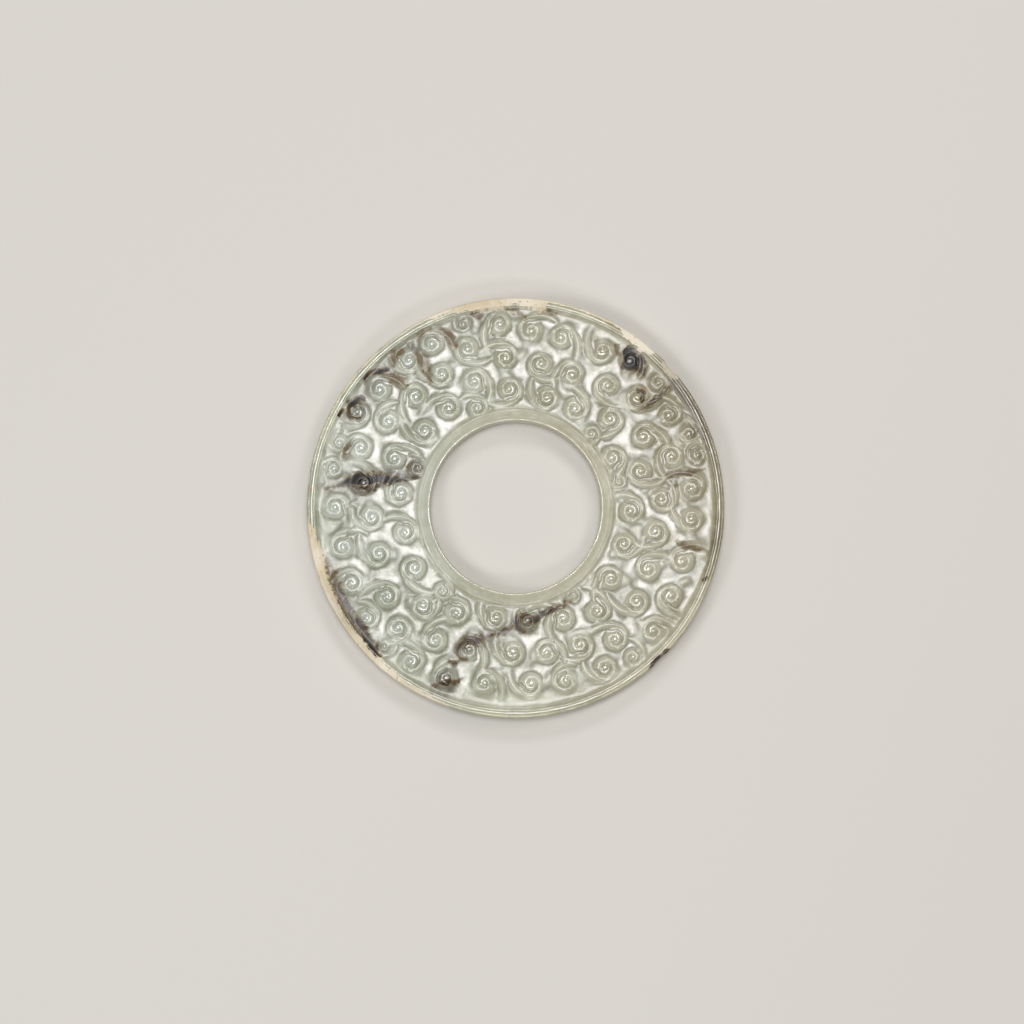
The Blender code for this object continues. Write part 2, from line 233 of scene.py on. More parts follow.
# A thin brown veil round the flaws and over the outer part of the right side.
SMOKE = (
    ((350, 34, 2, 0.35), (0, 33.5, 2.5, 0.35), (12, 34, 3, 0.5), (27, 33.6, 3, 0.55), (40, 33.5, 3.2, 0.6),
     (52, 34, 3, 0.6), (60, 34, 2, 0.35)),
    ((5, 28, 3, 0.2), (25, 29, 3.4, 0.3), (40, 29.5, 3.2, 0.35)),
    ((23.8, 34.7, 1.4, 0.8), (22.6, 34.7, 1.4, 0.8)),
    ((16.4, 34.7, 1.5, 0.7), (15, 34.7, 1.5, 0.7)),
    ((62, 37, 0.9, 0.6), (56, 37.1, 0.8, 0.5), (46, 37, 1, 0.6), (38.4, 36.7, 1.4, 1), (30, 36.8, 1.5, 1),
     (24, 36.9, 1.3, 1), (12, 37, 1.1, 0.75), (0, 37, 1, 0.65), (350, 36.9, 1.3, 0.85), (340, 37, 1, 0.6)),
    ((11.3, 34, 0.8, 0.7), (11.6, 28.5, 0.9, 0.6)),
    ((96, 35.4, 1.2, 0.3), (104, 35, 1.6, 0.35), (118, 35.4, 1.4, 0.4), (130, 35.4, 1.4, 0.5),
     (142, 34.5, 1.6, 0.5), (153, 35, 1.4, 0.4)),
    ((148.8, 33.8, 2, 0.65), (147.6, 33.6, 1.8, 0.65)),
    ((134.7, 34.6, 1, 0.85), (133.8, 32.9, 1, 0.9), (133.3, 30.4, 0.9, 0.7)),
    ((128.6, 35.4, 0.9, 0.6), (123, 35.4, 0.8, 0.7), (122.6, 33.5, 0.9, 0.85), (121.9, 31.5, 1, 0.9),
     (123, 29.2, 0.9, 0.7)),
    ((113.6, 36, 0.8, 0.6), (111.8, 34.4, 0.8, 0.85), (111.4, 32.2, 0.8, 0.8)),
    ((174, 35, 1.2, 0.4), (171.5, 31.5, 1.6, 0.7), (172, 28.5, 2.3, 0.95), (169.5, 26, 1.9, 0.8),
     (166.5, 23.5, 1.6, 0.8), (164.5, 20.5, 1.4, 0.8)),
    ((160, 19.9, 1.6, 0.85), (158, 19.6, 1.6, 0.85)),
    ((164, 32.6, 0.9, 0.5), (160.5, 32.4, 0.8, 0.6), (158.5, 32.3, 0.7, 0.5)),
    ((300, 19.7, 0.8, 0.3), (288, 19.8, 0.9, 0.4), (280, 20.4, 1.4, 0.6), (275.5, 20.9, 2.2, 0.9),
     (271, 21.3, 1.7, 0.8), (262, 23, 1.2, 0.5), (254, 24.8, 1.6, 0.8), (248.5, 27, 1.8, 0.8),
     (249, 29.5, 1, 0.5)),
    ((248.2, 31.8, 1.2, 0.6), (247.9, 33.8, 2.3, 1), (247.4, 34.6, 2, 0.9)),
    ((196, 35.6, 1.4, 0.5), (204, 35.7, 1.4, 0.75), (214, 35.8, 1.4, 0.8), (222, 35.8, 1.3, 0.7),
     (228, 36, 1.2, 0.5)),
)
# The rim turned to a chalky cream where it lay longest in lime.
CHALK = (
    ((38.8, 37.5, 0.6, 0.5), (41, 37.4, 0.8, 0.6), (43.4, 37.5, 0.6, 0.5)),
    ((49.8, 38, 1.3, 1), (51, 38, 1.6, 1), (55, 38, 1.6, 1), (58, 38, 1.3, 1), (60.4, 38, 0.5, 1),
     (70, 38, 0.4, 1), (80, 38, 0.5, 1), (82, 38, 2.3, 1), (84, 38, 2.4, 1), (87, 38, 1.6, 1),
     (91, 38, 1.3, 1), (96, 38, 2.4, 1), (99, 38, 2.1, 1), (104, 38, 1.5, 1), (109, 38, 1.1, 1),
     (113, 38, 0.6, 1), (122, 38, 0.4, 0.9), (135, 38, 0.3, 0.8), (150, 38, 0.3, 0.7)),
    ((183, 38, 0.3, 0.6), (187, 38, 1.2, 1), (195, 38, 2.1, 1), (202, 38, 1.7, 0.9), (208, 38, 1.5, 0.7),
     (214, 38, 1.4, 0.7), (220, 38, 1.3, 0.9), (230, 38, 1.3, 1), (240, 38, 0.9, 0.8), (251, 38, 0.4, 0.6)),
)
# Small spots of rust.
RUST = (
    ((153, 38, 0.4, 0.5), (154.6, 37.8, 0.4, 0.5)),
    ((174.7, 38.1, 0.5, 0.6), (174.8, 37.2, 0.5, 0.6), (174.9, 36.2, 0.3, 0.4)),
    ((243.3, 38, 0.5, 0.7), (244.6, 37.6, 0.4, 0.7)),
    ((239.6, 37.6, 0.3, 0.6), (240.6, 37.8, 0.3, 0.6)),
    ((201.6, 37.5, 0.3, 0.5), (203, 37.6, 0.3, 0.5)),
    ((196, 37.4, 0.4, 0.6), (197.5, 37.3, 0.4, 0.6)),
    ((305, 38, 0.4, 0.7), (307, 38, 0.4, 0.7)),
    ((321, 38, 0.3, 0.7), (322.5, 38, 0.3, 0.7)),
    ((41, 32.2, 0.2, 0.4), (42.5, 32, 0.3, 0.5), (44, 31.4, 0.2, 0.4)),
    ((205.4, 33.9, 0.3, 0.5), (204.6, 33.7, 0.3, 0.5)),
)
STAINS = {"vein": VEINS, "smoky": SMOKE, "calcified": CHALK, "ochre": RUST}

# Knocks to the outer edge, as strokes: bearing, radius, half width and depth.
KNOCKS = (
    ((49.4, 38.2, 0.7, 0.25), (47.5, 38.2, 0.6, 0.15)),
    ((43, 38.1, 0.9, 0.3), (40.5, 38.1, 1, 0.4)),
    ((171, 38.2, 0.6, 0.2), (173, 38.2, 0.7, 0.25)),
    ((312, 38.2, 0.7, 0.25), (315, 38.2, 0.8, 0.3)),
    ((322, 38.2, 0.5, 0.2), (323, 38.2, 0.5, 0.15)),
    ((244.5, 38.5, 0.8, 0.25), (246, 38.5, 0.6, 0.2)),
)
STROKE_STEPS = 12

STAIN_REACH = 2.0  # a stain ends at this many half widths
STAIN_STRAY = 1.1  # how far it bends off its stroke, in millimetres
STRAY_LENGTH = 2.2
# How fast each stain narrows on its way down: millimetres in plan for each one of depth.
DWINDLING = {"vein": 0.3, "smoky": 0.4, "calcified": 0.2, "ochre": 0.4}
# How soft each stain's edge is, as a share of the way from where it ends to its middle.
SOFTNESS = {"vein": 0.34, "smoky": 0.38, "calcified": 0.06, "border": 0.14, "ochre": 0.2}
RAGGED_IN = 4.0  # how soon a stain's edge is fully ragged on the way in
COARSE = 1.4  # how much more ragged the veins and the rust are than the rest
STAIN_EDGES = {"vein": (0.1, 1.1), "calcified": (0.2, 0.8)}  # the depths where the mesh is kept fine

# What nephrite does with light.
NEPHRITE_IOR = 1.61
GLOW = 0.35  # the share of the light that comes back from inside it
GLOW_TINT = (1.0, 1.1, 0.8)  # how far red, green and blue light go in it, beside each other
GLOW_DEPTH = 1.0  # how far light strays inside it, in millimetres
POLISH = 0.1  # the roughness of the curls where they are smoothest

# Patterns in the stone: millimetres across, octaves, roughness and distortion. The grain is the grinding
# marks, which are finer than this: it is drawn as coarse as it needs to show.
PATTERNS = {
    "cloud": (9.0, 5.0, 0.6, 0.8),
    "patch": (2.6, 3.0, 0.6, 0.0),
    "fleck": (1.6, 3.0, 0.7, 0.0),
    "ragged": (0.9, 6.0, 0.65, 0.0),
    "speck": (0.6, 1.0, 0.5, 0.0),
    "grain": (0.45, 3.0, 0.6, 0.0),
}
TURNED_LINE = 0.38  # from one ring turned on the rims to the next, in millimetres
TURNED_SWAY = 0.12
TURNED_SHARE = 0.13  # how strong the rings are beside the grain
TURNED_AT_HOLE = 0.3  # how strong they are at the hole beside the outer rim
MARK_DEPTH = 0.02
GRAIN_KEPT = 0.25  # the share of the grain that is left where the curls are polished

# Where a look comes in: the measure that it goes by, where it starts, where it is full, and how strong
# it is there. The relief is the height above the sunk field.
ZONES = {
    "warm": ("east", -30.0, 34.0, 0.6),
    "left": ("east", 0.0, -25.0, 1.0),
    "right": ("east", -5.0, 20.0, 1.0),
    "yellow": ("radius", HOLE + 3.5, HOLE, 0.7),
    "at_hole": ("radius", FIELD[0] - 0.3, FIELD[0] - 0.7, 1.0),
    "outside_hole": ("radius", FIELD[0] - 0.2, FIELD[0] + 0.4, 1.0),
    "inside_rim": ("radius", FIELD[1] - 0.5, FIELD[1] - 1.5, 1.0),
    "skin": ("radius", FIELD[1] - 0.2, OUTER, 0.8),
    "on_rim": ("radius", FIELD[1] + 0.4, FIELD[1] + 0.8, 1.0),
    "foot_rises": ("relief", 0.04, 0.1, 1.0),
    "foot_ends": ("relief", 0.22, 0.14, 1.0),
    "ground": ("relief", 0.15, 0.09, 1.0),
    "sunk": ("relief", 0.2, 0.08, 1.0),
    "raised": ("relief", 0.2, 0.5, 0.45),
    "dull": ("relief", 0.48, 0.36, 1.0),
}
LOWER_LEFT = (-0.45, -0.9, 0.0)  # the way to where the ground is least milky and has least painted reflection
CLEARED = 30.0  # how far that way it takes to get there
CLEAR_BAND = 1.6  # how much further the milky white and its painted reflection stay off the outer rim there
CLEAR_PATCHES = -0.12  # and how much sparser its patches are
# How dark the painted shade at the foot of each curl is.
PAINTED_FOOT_SHADE = 0.55

# The stage, in metres, degrees and watts. The camera's aim is in the stone's millimetres.
LENS = 100.0
SENSOR = 36.0
NEAREST = 0.01
CAMERA_AIM = (-0.65, -0.95, THICKNESS)
CAMERA_DISTANCE = 0.516
CAMERA_TILT = 4.5
FLOOR_HALF = 1.5
ROOM_LIGHT = 0.22
LIGHTS = (  # name, place, size, power and colour
    ("overhead_softbox", (0.0, 0.08, 0.95), (0.28, 0.24), 2.9, "#ffffff"),
    ("small_softbox", (-0.03, 0.05, 0.95), (0.09, 0.09), 0.3, "#ffffff"),
    ("left_softbox", (-0.38, -0.18, 0.55), (0.22, 0.22), 1.1, "#ffffff"),
    ("right_softbox", (0.36, 0.22, 0.55), (0.2, 0.2), 0.6, "#fff6ea"),
    ("front_softbox", (0.05, -0.45, 0.5), (0.22, 0.14), 0.7, "#ffffff"),
    ("back_softbox", (0.05, 0.5, 0.52), (0.24, 0.16), 0.95, "#ffffff"),
)

# The kinds of node that are used most, and the setting that gives a range soft ends.
MATH = "ShaderNodeMath"
VECTOR = "ShaderNodeVectorMath"
NOISE = "ShaderNodeTexNoise"
RANGE = "ShaderNodeMapRange"
SMOOTH = {"interpolation_type": "SMOOTHSTEP"}


def linear(code):
    """An sRGB hex colour as linear red, green, blue and alpha."""
    parts = [int(code[i : i + 2], 16) / 255 for i in (1, 3, 5)]
    return (*[c / 12.92 if c <= 0.04045 else ((c + 0.055) / 1.055) ** 2.4 for c in parts], 1.0)


def plug(tree, node, inputs):
    """Sets or links each input named. A node stands for its first output."""
    for name, value in inputs.items():
        if isinstance(value, bpy.types.Node):
            value = value.outputs[0]
        if isinstance(value, bpy.types.NodeSocket):
            tree.links.new(value, node.inputs[name])
        else:
            node.inputs[name].default_value = value


def add(tree, kind, inputs=None, **settings):
    """Adds one node with its settings and inputs."""
    node = tree.nodes.new(kind)
    for name, value in settings.items():
        setattr(node, name, value)
    plug(tree, node, inputs or {})
    return node


def new_object(name, data):
    """An object in the scene, at the origin."""
    obj = bpy.data.objects.new(name, data)
    bpy.context.scene.collection.objects.link(obj)
    return obj


def polar(radius, bearing):
    """(x, y) of a radius and a bearing in degrees. Both may be arrays."""
    return np.stack([radius * np.cos(np.radians(bearing)), radius * np.sin(np.radians(bearing))], -1)


def spline(points, steps):
    """A smooth line through given points: `steps` points to each stretch, ends kept."""
    p = np.array(points, float)
    p = np.concatenate([2 * p[:1] - p[1:2], p, 2 * p[-1:] - p[-2:-1]])
    t = (np.arange(steps) / steps)[:, None]
    runs = []
    for a, b, c, d in zip(p, p[1:], p[2:], p[3:]):
        runs.append(b + 0.5 * t * (c - a + t * (2 * a - 5 * b + 4 * c - d + t * (3 * b - a - 3 * c + d))))
    return np.concatenate(runs + [p[-2:-1]])


def make_real(obj):
    """Turns what the modifiers give into the object's own plain mesh."""
    bpy.context.view_layer.update()
    mesh = bpy.data.meshes.new_from_object(obj.evaluated_get(bpy.context.evaluated_depsgraph_get()))
    mesh.name = obj.name
    obj.modifiers.clear()
    obj.data = mesh


# ---- setting out


def lines_object(name, lines, **columns):
    """Loose flat lines as a mesh, with one float attribute for each column of values."""
    points = np.concatenate(lines)
    edges = []
    start = 0
    for line in lines:
        edges += [(start + i, start + i + 1) for i in range(len(line) - 1)]
        start += len(line)
    mesh = bpy.data.meshes.new(name)
    flat = np.zeros((len(points), 3))
    flat[:, :2] = points
    mesh.from_pydata(flat.tolist(), edges, [])
    for key, values in columns.items():
        layer = mesh.attributes.new(key, "FLOAT", "POINT")
        layer.data.foreach_set("value", np.concatenate(values).astype(np.float32))
    return new_object(name, mesh)


def tail_radius(curl, share):
    """How far the tail's middle line is from the head's centre, from leaving it (0) to the tip (1)."""
    start = BAND_LEAVES * curl.size
    return start + (curl.reach - start) * share**TAIL_FLARE


def tail_half(share):
    """Half the tail's width: a narrow neck, a fuller middle and a blunt tip."""
    return BAND_HALF + (TAIL_HALF - BAND_HALF) * share + TAIL_SWELL * share * (1.0 - share)


def band_line(curl):
    """The raised band's middle line, its half width and its height, from its root to the tail's tip."""
    back = np.linspace(BAND_TURNS, 0.0, PATH_STEPS, endpoint=False)
    share = np.linspace(0.0, 1.0, PATH_STEPS // 2)
    root = BAND_ROOT + (BAND_LEAVES - BAND_ROOT) * (1.0 - back) ** BAND_SWING
    radius = np.concatenate([root * curl.size, tail_radius(curl, share)])
    ahead = np.concatenate([-360.0 * back, TAIL_SWEEP * share])
    bearing = curl.tail + curl.turn * (ahead - TAIL_SWEEP)
    tapering = np.concatenate([0 * back, share**TAIL_TAPER])
    half = np.concatenate([BAND_HALF + 0 * back, tail_half(share)])
    risen = np.concatenate([1.0 - back / BAND_TURNS, 1.0 + 0 * share])
    crown = (BAND_CROWN + (TAIL_CROWN - BAND_CROWN) * tapering) * risen
    height = HEIGHT_KEPT + (1.0 - HEIGHT_KEPT) * curl.size
    centre = polar(curl.radius, curl.bearing)
    return centre + polar(radius, bearing), half * curl.size, crown * height


def groove_line(curl):
    """The groove's middle line, its half width and its depth, from behind the tail to the heart."""
    turns = np.linspace(-GROOVE_LEAD, GROOVE_TURNS, PATH_STEPS)
    left = 1.0 - np.clip(turns / GROOVE_TURNS, 0.0, 1.0)
    inside = GROOVE_HEART + (GROOVE_MOUTH - GROOVE_HEART) * left**GROOVE_CLOSE
    fade = left**GROOVE_SHALLOWS
    half = GROOVE_HALVES[1] + (GROOVE_HALVES[0] - GROOVE_HALVES[1]) * fade
    depth = GROOVE_DEPTHS[1] + (GROOVE_DEPTHS[0] - GROOVE_DEPTHS[1]) * fade
    share = np.clip(-turns * 360.0 / TAIL_SWEEP, 0.0, 1.0)
    beside = tail_radius(curl, share) - (tail_half(share) + half) * curl.size
    radius = np.where(turns < 0.0, beside, inside * curl.size)
    bearing = curl.tail - curl.turn * (TAIL_SWEEP + 360.0 * turns)
    centre = polar(curl.radius, curl.bearing)
    return centre + polar(radius, bearing), half * curl.size, depth


def underside_curls():
    """Even courses of full-sized curls that unwind this way and that in turn."""
    curls = []
    for course, (count, radius) in enumerate(UNDERSIDE_COURSES):
        for number in range(count):
            bearing = 360.0 * (number + 0.5 * (course % 2)) / count
            turn = L if number % 2 else R
            curls.append(Curl(bearing, radius, turn, bearing + 90.0 * turn, UNDERSIDE_REACH))
    return curls


def set_out(name, curls):
    """The lines and centres that the curls of one face are cut to."""
    centres = [polar(np.array([curl.radius]), np.array([curl.bearing])) for curl in curls]
    made = {"Heads": lines_object(name + "_heads", centres, size=[[c.size] for c in curls])}
    for key, line, value in (("Bands", band_line, "crown"), ("Grooves", groove_line, "depth")):
        lines, halves, values = zip(*map(line, curls))
        made[key] = lines_object(name + "_" + key.lower(), lines, **{"half": halves, value: values})
    return made


def strokes_object(name, strokes, value):
    """Listed strokes as smooth lines that carry their half width and one more value."""
    lines = []
    for stroke in strokes:
        bearing, radius, half, amount = np.array(stroke, float).T
        plan = polar(radius, bearing) * (1.0, STRETCH)
        lines.append(spline(np.column_stack([plan, half, amount]), STROKE_STEPS))
    return lines_object(
        name, [line[:, :2] for line in lines],
        **{"half": [line[:, 2] for line in lines], value: [line[:, 3] for line in lines]},
    )


# ---- the blank


def face_section(step):
    """(radius, depth below the rims) across one face: inner rim, sunk field, outer rim."""
    inner = spline([(HOLE + out, depth) for out, depth in INNER_RIM], RIM_STEPS)
    outer = spline([(OUTER - back, depth) for back, depth in OUTER_RIM], RIM_STEPS)
    field = np.linspace(inner[-1], outer[0], int((FIELD[1] - FIELD[0]) / step))[1:-1]
    return np.concatenate([inner, field, outer])


def turned_blank():
    """The ring before the curls are cut: its section, turned about the axis."""
    top = face_section(FACE_STEP)
    under = face_section(UNDERSIDE_STEP)[::-1]
    radius = np.concatenate([top[:, 0], under[:, 0]])
    height = np.concatenate([THICKNESS - EASE - top[:, 1], EASE + under[:, 1]])
    count = len(radius)
    mesh = bpy.data.meshes.new("jade_huan")
    points = np.stack([radius, 0 * radius, height], -1)
    mesh.from_pydata(points.tolist(), [(i, (i + 1) % count) for i in range(count)], [])
    blank = new_object("jade_huan", mesh)
    turn = blank.modifiers.new("turn", "SCREW")
    turn.steps = TURN_STEPS
    turn.render_steps = TURN_STEPS
    turn.use_merge_vertices = True
    turn.merge_threshold = SEAM_GAP
    make_real(blank)
    blank.data.transform(Matrix.Diagonal((1.0, STRETCH, 1.0, 1.0)))
    return blank


# ---- the carving


def new_tree(name, inputs):
    """A geometry tree with its named inputs, and the sockets that give their values."""
    tree = bpy.data.node_groups.new(name, "GeometryNodeTree")
    tree.interface.new_socket("Geometry", in_out="OUTPUT", socket_type="NodeSocketGeometry")
    for key, kind in {"Geometry": "Geometry", "Material": "Material", **inputs}.items():
        tree.interface.new_socket(key, in_out="INPUT", socket_type="NodeSocket" + kind)
    return tree, tree.nodes.new("NodeGroupInput").outputs


def end_tree(tree, shape, material):
    """Ends a tree with real geometry in its material."""
    real = add(tree, "GeometryNodeRealizeInstances", {"Geometry": shape})
    done = add(tree, "GeometryNodeSetMaterial", {"Geometry": real, "Material": material})
    add(tree, "NodeGroupOutput", {0: done})
    return tree


def work(piece, name, tree, values):
    """Works a piece with a tree, whose inputs are given by name, and clears the guiding lines away."""
    step = piece.modifiers.new(name, "NODES")
    step.node_group = tree
    for item in tree.interface.items_tree:
        if item.in_out == "INPUT" and item.name in values:
            step[item.identifier] = values[item.name]
    make_real(piece)
    for value in values.values():
        if isinstance(value, bpy.types.Object):
            bpy.data.objects.remove(value)


def near(tree, lines, place, key):
    """The distance to the nearest of some loose lines, their half width there, and one more value."""
    shape = add(tree, "GeometryNodeObjectInfo", {"Object": lines}).outputs["Geometry"]
    distance = add(
        tree, "GeometryNodeProximity", {0: shape, "Sample Position": place}, target_element="EDGES"
    ).outputs["Distance"]
    index = add(tree, "GeometryNodeSampleNearest", {"Geometry": shape, "Sample Position": place})
    values = [distance]
    for name in ("half", key):
        value = add(tree, "GeometryNodeInputNamedAttribute", {"Name": name}, data_type="FLOAT")
        sample = {"Geometry": shape, "Value": value, "Index": index}
        values.append(add(tree, "GeometryNodeSampleIndex", sample))
    return values


def strayed(tree, place, length, octaves, amount, ways):
    """A place moved by a noise. The ways are 1 along each axis that it may stray along, and else 0."""
    stray = add(tree, NOISE, {"Vector": place, "Scale": 1 / length, "Detail": octaves}).outputs["Color"]
    stray = add(tree, VECTOR, {0: stray, 1: (0.5, 0.5, 0.5)}, operation="SUBTRACT")
    stray = add(tree, VECTOR, {0: stray, "Scale": amount}, operation="SCALE")
    stray = add(tree, VECTOR, {0: stray, 1: ways}, operation="MULTIPLY")
    return add(tree, VECTOR, {0: place, 1: stray}, operation="ADD")


def ridge(tree, away, half, power):
    """1 in the middle, falling to 0 at the half width: straight down with a power of 1."""
    share = add(tree, MATH, {0: away, 1: half}, operation="DIVIDE", use_clamp=True)
    fall = add(tree, MATH, {0: share, 1: power}, operation="POWER")
    return add(tree, MATH, {0: 1.0, 1: fall}, operation="SUBTRACT")


def skirted(tree, shape, away, half):
    """A boss whose foot runs on down past its half width."""
    beyond = add(tree, MATH, {0: away, 1: half}, operation="SUBTRACT")
    beyond = add(tree, MATH, {0: beyond, 1: 0.0}, operation="MAXIMUM")
    return add(tree, MATH, {0: beyond, 1: -SKIRT, 2: shape}, operation="MULTIPLY_ADD")


def carving_tree():
    """Raises the curls of one face: domed heads and bands, less the grooves, over the sunk field."""
    guides = dict.fromkeys(("Bands", "Grooves", "Heads"), "Object")
    sizes = dict.fromkeys(("Face", "Field Level", *CARVING), "Float")
    tree, given = new_tree("curl_carving", {**guides, **sizes})
    place = add(tree, "GeometryNodeInputPosition")
    east, north, up = add(tree, "ShaderNodeSeparateXYZ", {0: place}).outputs
    plan = add(tree, "ShaderNodeCombineXYZ", {"X": east, "Y": north})
    flat = strayed(tree, plan, WANDER_LENGTH, 1.0, given["Wander"], (1.0, 1.0, 0.0))

    # The band: a rounded ridge.
    distance, half, crown = near(tree, given["Bands"], flat, "crown")
    rise = ridge(tree, distance, half, BAND_PROFILE)
    band = add(tree, MATH, {0: crown, 1: rise}, operation="MULTIPLY")
    band = skirted(tree, band, distance, half)

    # The head: a low dome round the nearest centre.
    heads = add(tree, "GeometryNodeObjectInfo", {"Object": given["Heads"]}).outputs["Geometry"]
    index = add(tree, "GeometryNodeSampleNearest", {"Geometry": heads, "Sample Position": flat})
    centre = add(
        tree, "GeometryNodeSampleIndex", {"Geometry": heads, "Value": place, "Index": index},
        data_type="FLOAT_VECTOR",
    )
    size = add(tree, "GeometryNodeInputNamedAttribute", {"Name": "size"}, data_type="FLOAT")
    size = add(tree, "GeometryNodeSampleIndex", {"Geometry": heads, "Value": size, "Index": index})
    away = add(tree, VECTOR, {0: flat, 1: centre}, operation="DISTANCE").outputs["Value"]
    reach = add(tree, MATH, {0: given["Head Radius"], 1: size}, operation="MULTIPLY")
    rise = ridge(tree, away, reach, HEAD_POINT)
    full = add(tree, MATH, {0: rise, 1: HEAD_FULLNESS}, operation="POWER")
    height = add(tree, MATH, {0: size, 1: 1.0 - HEIGHT_KEPT, 2: HEIGHT_KEPT}, operation="MULTIPLY_ADD")
    height = add(tree, MATH, {0: height, 1: given["Head Height"]}, operation="MULTIPLY")
    dome = add(tree, MATH, {0: full, 1: height}, operation="MULTIPLY")
    dome = skirted(tree, dome, away, reach)
    boss = add(tree, MATH, {0: band, 1: dome, 2: given["Blend"]}, operation="SMOOTH_MAX")

    # The groove: a round-bottomed cut, clear through the boss at its mouth.
    distance, half, depth = near(tree, given["Grooves"], flat, "depth")
    share = add(tree, MATH, {0: distance, 1: half}, operation="DIVIDE", use_clamp=True)
    cut = add(tree, RANGE, {"Value": share, "To Min": 1.0, "To Max": 0.0}, **SMOOTH)
    cut = add(tree, MATH, {0: cut, 1: depth}, operation="MULTIPLY")
    carved = add(tree, MATH, {0: boss, 1: cut}, operation="SUBTRACT")

    # Ground that was ground down by hand, and a fillet where it meets the bosses and the rims.
    waves = add(tree, NOISE, {"Vector": plan, "Scale": 1 / WAVE, "Detail": 1.0})
    waves = add(tree, MATH, {0: waves, 1: 0.5}, operation="SUBTRACT")
    waves = add(tree, MATH, {0: waves, 1: given["Waviness"]}, operation="MULTIPLY")
    start, full = WAVES_CLEAR
    clear = add(tree, RANGE, {"Value": carved, "From Min": start, "From Max": full}, **SMOOTH)
    waves = add(tree, MATH, {0: waves, 1: clear}, operation="MULTIPLY")
    ground = add(tree, MATH, {0: carved, 1: 0.0, 2: given["Fillet"]}, operation="SMOOTH_MAX")
    relief = add(tree, MATH, {0: ground, 1: waves}, operation="ADD")
    field = given["Field Level"]
    relief = add(tree, MATH, {0: relief, 1: field}, operation="ADD")
    ceiling = add(tree, MATH, {0: field, 1: FIELD_DEPTH - HEADROOM}, operation="ADD")
    relief = add(tree, MATH, {0: relief, 1: ceiling}, operation="MINIMUM")
    level = add(tree, MATH, {0: up, 1: given["Face"]}, operation="MULTIPLY")
    worked = add(tree, MATH, {0: relief, 1: level, 2: RIM_FILLET}, operation="SMOOTH_MAX")
    worked = add(tree, MATH, {0: worked, 1: given["Face"]}, operation="MULTIPLY")

    # Only this face is cut, between its two rims.
    low = add(tree, MATH, {0: field, 1: FIELD_SLACK}, operation="SUBTRACT")
    chosen = add(tree, "FunctionNodeCompare", {0: level, 1: low}, operation="GREATER_THAN")
    moved = add(tree, "ShaderNodeCombineXYZ", {"X": east, "Y": north, "Z": worked})
    shaped = add(
        tree, "GeometryNodeSetPosition",
        {"Geometry": given["Geometry"], "Selection": chosen, "Position": moved},
    )
    return end_tree(tree, shaped, given["Material"])


def carve(blank, tree, name, curls, face, material):
    """Cuts the curls of one face: 1 is the upper one, -1 the underside."""
    rim = THICKNESS - EASE if face > 0 else EASE
    sizes = {"Face": float(face), "Field Level": rim * face - FIELD_DEPTH, **CARVING}
    work(blank, name, tree, {**set_out(name, curls), **sizes, "Material": material})


def wear_tree():
    """Wears the outer edge: a slightly uneven outline, small nicks and the larger knocks."""
    tree, given = new_tree("edge_wear", {"Knocks": "Object", **dict.fromkeys(WEAR, "Float")})
    place = add(tree, "GeometryNodeInputPosition")
    east, north, _ = add(tree, "ShaderNodeSeparateXYZ", {0: place}).outputs
    flat = add(tree, "ShaderNodeCombineXYZ", {"X": east, "Y": north})
    radius = add(tree, VECTOR, {0: flat}, operation="LENGTH").outputs["Value"]
    rim = add(tree, RANGE, {"Value": radius, "From Min": FIELD[1], "From Max": OUTER}, **SMOOTH)
    distance, half, depth = near(tree, given["Knocks"], flat, "depth")
    knock = ridge(tree, distance, half, 1.0)
    knock = add(tree, MATH, {0: knock, 1: depth}, operation="MULTIPLY")
    sway = add(tree, NOISE, {"Vector": flat, "Scale": 1 / SWAY_LENGTH, "Detail": 2.0})
    sway = add(tree, MATH, {0: sway, 1: given["Unevenness"]}, operation="MULTIPLY")
    nick = add(tree, NOISE, {"Vector": place, "Scale": 1 / NICK_LENGTH, "Detail": 2.0})
    nick = add(tree, RANGE, {"Value": nick, "From Min": 0.6, "From Max": 0.75})
    nick = add(tree, MATH, {0: nick, 1: given["Nicks"]}, operation="MULTIPLY")
    worn = add(tree, MATH, {0: sway, 1: nick}, operation="ADD")
    worn = add(tree, MATH, {0: worn, 1: rim}, operation="MULTIPLY")
    worn = add(tree, MATH, {0: worn, 1: knock}, operation="ADD")
    outwards = add(tree, VECTOR, {0: flat}, operation="NORMALIZE")
    less = add(tree, MATH, {0: 0.0, 1: worn}, operation="SUBTRACT")
    move = add(tree, VECTOR, {0: outwards, "Scale": less}, operation="SCALE")
    worn_down = add(tree, "GeometryNodeSetPosition", {"Geometry": given["Geometry"], "Offset": move})
    return end_tree(tree, worn_down, given["Material"])


def wear(piece, material):
    """Wears a piece's outer edge, and gives it its knocks."""
    knocks = strokes_object("knocks", KNOCKS, "depth")
    work(piece, "wear", wear_tree(), {"Knocks": knocks, **WEAR, "Material": material})


